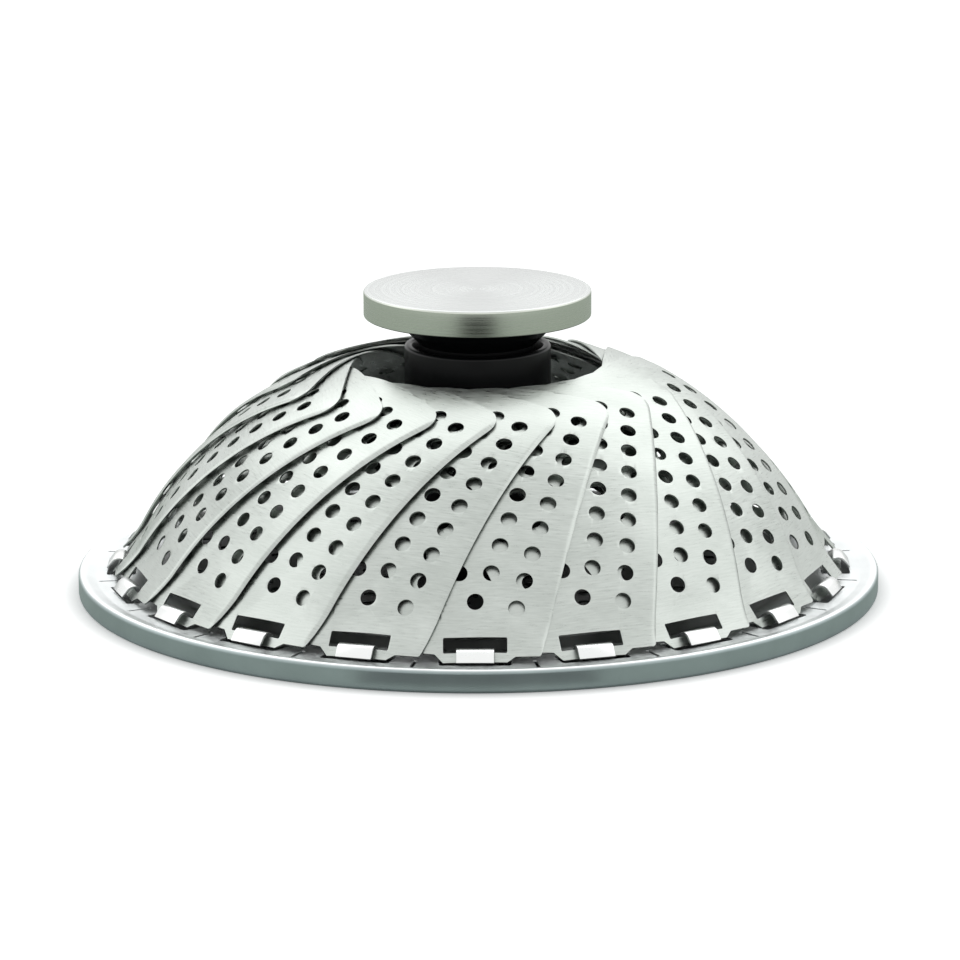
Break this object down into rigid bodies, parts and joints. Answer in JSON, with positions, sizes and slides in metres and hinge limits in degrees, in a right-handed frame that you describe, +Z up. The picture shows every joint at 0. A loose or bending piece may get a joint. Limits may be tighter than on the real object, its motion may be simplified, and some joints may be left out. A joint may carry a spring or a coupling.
{
  "type": "steamer basket",
  "caption": "Collapsible steamer basket folded shut: overlapping perforated steel petals on a round base plate, with a telescoping handle ending in a steel disc knob.",
  "frame": {"origin": "centre of the rim's underside, on the surface that the closed basket rests on", "axes": "+Z up along the handle, -Y towards the front of the picture, +X to its right"},
  "size_m": [0.165, 0.165, 0.0624],
  "materials": {
    "steel_sheet": "fine brushed",
    "knob_steel": "spin brushed",
    "black_plastic": "satin moulded",
    "black_rubber": "matte",
    "fastener_steel": "satin",
    "leg_wire": "polished wire"
  },
  "bodies": {
    "frame": {"base_plate": "steel_sheet", "post_base": "black_plastic", "post": "black_plastic", "base_screw": "fastener_steel", "base_washer": "fastener_steel", "base_nut": "fastener_steel", "leg_clip_1": "steel_sheet", "leg_clip_2": "steel_sheet", "leg_clip_3": "steel_sheet", "leg_rivets": "fastener_steel"},
    "handle": {"stem": "black_plastic", "stop_ring": "black_plastic", "friction_ring": "black_rubber", "knob_insert": "black_plastic", "knob_cap": "knob_steel", "knob_screw": "fastener_steel", "knob_washer": "fastener_steel"},
    "petal_01_body": {"petal_01": "steel_sheet"},
    "petal_02_body": {"petal_02": "steel_sheet"},
    "petal_03_body": {"petal_03": "steel_sheet"},
    "petal_04_body": {"petal_04": "steel_sheet"},
    "petal_05_body": {"petal_05": "steel_sheet"},
    "petal_06_body": {"petal_06": "steel_sheet"},
    "petal_07_body": {"petal_07": "steel_sheet"},
    "petal_08_body": {"petal_08": "steel_sheet"},
    "petal_09_body": {"petal_09": "steel_sheet"},
    "petal_10_body": {"petal_10": "steel_sheet"},
    "petal_11_body": {"petal_11": "steel_sheet"},
    "petal_12_body": {"petal_12": "steel_sheet"},
    "petal_13_body": {"petal_13": "steel_sheet"},
    "petal_14_body": {"petal_14": "steel_sheet"},
    "petal_15_body": {"petal_15": "steel_sheet"},
    "petal_16_body": {"petal_16": "steel_sheet"},
    "petal_17_body": {"petal_17": "steel_sheet"},
    "petal_18_body": {"petal_18": "steel_sheet"},
    "petal_19_body": {"petal_19": "steel_sheet"},
    "petal_20_body": {"petal_20": "steel_sheet"},
    "leg_1_body": {"leg_1": "leg_wire"},
    "leg_2_body": {"leg_2": "leg_wire"},
    "leg_3_body": {"leg_3": "leg_wire"}
  },
  "joints": [
    {"name": "handle_slide", "type": "slide", "parent": "frame", "child": "handle", "axis": [0, 0, 1], "range_m": [0, 0.027]},
    {"name": "petal_01_hinge", "type": "hinge", "parent": "frame", "child": "petal_01_body", "pos_m": [-0.00069, -0.07414, 0.0049], "axis": [1, -0.0093, 0], "range_deg": [0, 100]},
    {"name": "petal_02_hinge", "type": "hinge", "parent": "frame", "child": "petal_02_body", "pos_m": [0.02226, -0.07072, 0.0049], "axis": [0.9539, 0.3002, 0], "range_deg": [0, 100]},
    {"name": "petal_03_hinge", "type": "hinge", "parent": "frame", "child": "petal_03_body", "pos_m": [0.04302, -0.06038, 0.0049], "axis": [0.8144, 0.5803, 0], "range_deg": [0, 100]},
    {"name": "petal_04_hinge", "type": "hinge", "parent": "frame", "child": "petal_04_body", "pos_m": [0.05957, -0.04413, 0.0049], "axis": [0.5952, 0.8035, 0], "range_deg": [0, 100]},
    {"name": "petal_05_hinge", "type": "hinge", "parent": "frame", "child": "petal_05_body", "pos_m": [0.0703, -0.02356, 0.0049], "axis": [0.3178, 0.9482, 0], "range_deg": [0, 100]},
    {"name": "petal_06_hinge", "type": "hinge", "parent": "frame", "child": "petal_06_body", "pos_m": [0.07414, -0.00069, 0.0049], "axis": [0.0093, 1, 0], "range_deg": [0, 100]},
    {"name": "petal_07_hinge", "type": "hinge", "parent": "frame", "child": "petal_07_body", "pos_m": [0.07072, 0.02226, 0.0049], "axis": [-0.3002, 0.9539, 0], "range_deg": [0, 100]},
    {"name": "petal_08_hinge", "type": "hinge", "parent": "frame", "child": "petal_08_body", "pos_m": [0.06038, 0.04302, 0.0049], "axis": [-0.5803, 0.8144, 0], "range_deg": [0, 100]},
    {"name": "petal_09_hinge", "type": "hinge", "parent": "frame", "child": "petal_09_body", "pos_m": [0.04413, 0.05957, 0.0049], "axis": [-0.8035, 0.5952, 0], "range_deg": [0, 100]},
    {"name": "petal_10_hinge", "type": "hinge", "parent": "frame", "child": "petal_10_body", "pos_m": [0.02356, 0.0703, 0.0049], "axis": [-0.9482, 0.3178, 0], "range_deg": [0, 100]},
    {"name": "petal_11_hinge", "type": "hinge", "parent": "frame", "child": "petal_11_body", "pos_m": [0.00069, 0.07414, 0.0049], "axis": [-1, 0.0093, 0], "range_deg": [0, 100]},
    {"name": "petal_12_hinge", "type": "hinge", "parent": "frame", "child": "petal_12_body", "pos_m": [-0.02226, 0.07072, 0.0049], "axis": [-0.9539, -0.3002, 0], "range_deg": [0, 100]},
    {"name": "petal_13_hinge", "type": "hinge", "parent": "frame", "child": "petal_13_body", "pos_m": [-0.04302, 0.06038, 0.0049], "axis": [-0.8144, -0.5803, 0], "range_deg": [0, 100]},
    {"name": "petal_14_hinge", "type": "hinge", "parent": "frame", "child": "petal_14_body", "pos_m": [-0.05957, 0.04413, 0.0049], "axis": [-0.5952, -0.8035, 0], "range_deg": [0, 100]},
    {"name": "petal_15_hinge", "type": "hinge", "parent": "frame", "child": "petal_15_body", "pos_m": [-0.0703, 0.02356, 0.0049], "axis": [-0.3178, -0.9482, 0], "range_deg": [0, 100]},
    {"name": "petal_16_hinge", "type": "hinge", "parent": "frame", "child": "petal_16_body", "pos_m": [-0.07414, 0.00069, 0.0049], "axis": [-0.0093, -1, 0], "range_deg": [0, 100]},
    {"name": "petal_17_hinge", "type": "hinge", "parent": "frame", "child": "petal_17_body", "pos_m": [-0.07072, -0.02226, 0.0049], "axis": [0.3002, -0.9539, 0], "range_deg": [0, 100]},
    {"name": "petal_18_hinge", "type": "hinge", "parent": "frame", "child": "petal_18_body", "pos_m": [-0.06038, -0.04302, 0.0049], "axis": [0.5803, -0.8144, 0], "range_deg": [0, 100]},
    {"name": "petal_19_hinge", "type": "hinge", "parent": "frame", "child": "petal_19_body", "pos_m": [-0.04413, -0.05957, 0.0049], "axis": [0.8035, -0.5952, 0], "range_deg": [0, 100]},
    {"name": "petal_20_hinge", "type": "hinge", "parent": "frame", "child": "petal_20_body", "pos_m": [-0.02356, -0.0703, 0.0049], "axis": [0.9482, -0.3178, 0], "range_deg": [0, 100]},
    {"name": "leg_1_fold", "type": "hinge", "parent": "frame", "child": "leg_1_body", "pos_m": [0, -0.052, 0.00395], "axis": [-1, 0, 0], "range_deg": [0, 95]},
    {"name": "leg_2_fold", "type": "hinge", "parent": "frame", "child": "leg_2_body", "pos_m": [0.04503, 0.026, 0.00395], "axis": [0.5, -0.866, 0], "range_deg": [0, 95]},
    {"name": "leg_3_fold", "type": "hinge", "parent": "frame", "child": "leg_3_body", "pos_m": [-0.04503, 0.026, 0.00395], "axis": [0.5, 0.866, 0], "range_deg": [0, 95]}
  ],
  "couplings": [
    {"joint": "petal_02_hinge", "follows": "petal_01_hinge", "ratio": 1},
    {"joint": "petal_03_hinge", "follows": "petal_01_hinge", "ratio": 1},
    {"joint": "petal_04_hinge", "follows": "petal_01_hinge", "ratio": 1},
    {"joint": "petal_05_hinge", "follows": "petal_01_hinge", "ratio": 1},
    {"joint": "petal_06_hinge", "follows": "petal_01_hinge", "ratio": 1},
    {"joint": "petal_07_hinge", "follows": "petal_01_hinge", "ratio": 1},
    {"joint": "petal_08_hinge", "follows": "petal_01_hinge", "ratio": 1},
    {"joint": "petal_09_hinge", "follows": "petal_01_hinge", "ratio": 1},
    {"joint": "petal_10_hinge", "follows": "petal_01_hinge", "ratio": 1},
    {"joint": "petal_11_hinge", "follows": "petal_01_hinge", "ratio": 1},
    {"joint": "petal_12_hinge", "follows": "petal_01_hinge", "ratio": 1},
    {"joint": "petal_13_hinge", "follows": "petal_01_hinge", "ratio": 1},
    {"joint": "petal_14_hinge", "follows": "petal_01_hinge", "ratio": 1},
    {"joint": "petal_15_hinge", "follows": "petal_01_hinge", "ratio": 1},
    {"joint": "petal_16_hinge", "follows": "petal_01_hinge", "ratio": 1},
    {"joint": "petal_17_hinge", "follows": "petal_01_hinge", "ratio": 1},
    {"joint": "petal_18_hinge", "follows": "petal_01_hinge", "ratio": 1},
    {"joint": "petal_19_hinge", "follows": "petal_01_hinge", "ratio": 1},
    {"joint": "petal_20_hinge", "follows": "petal_01_hinge", "ratio": 1}
  ]
}
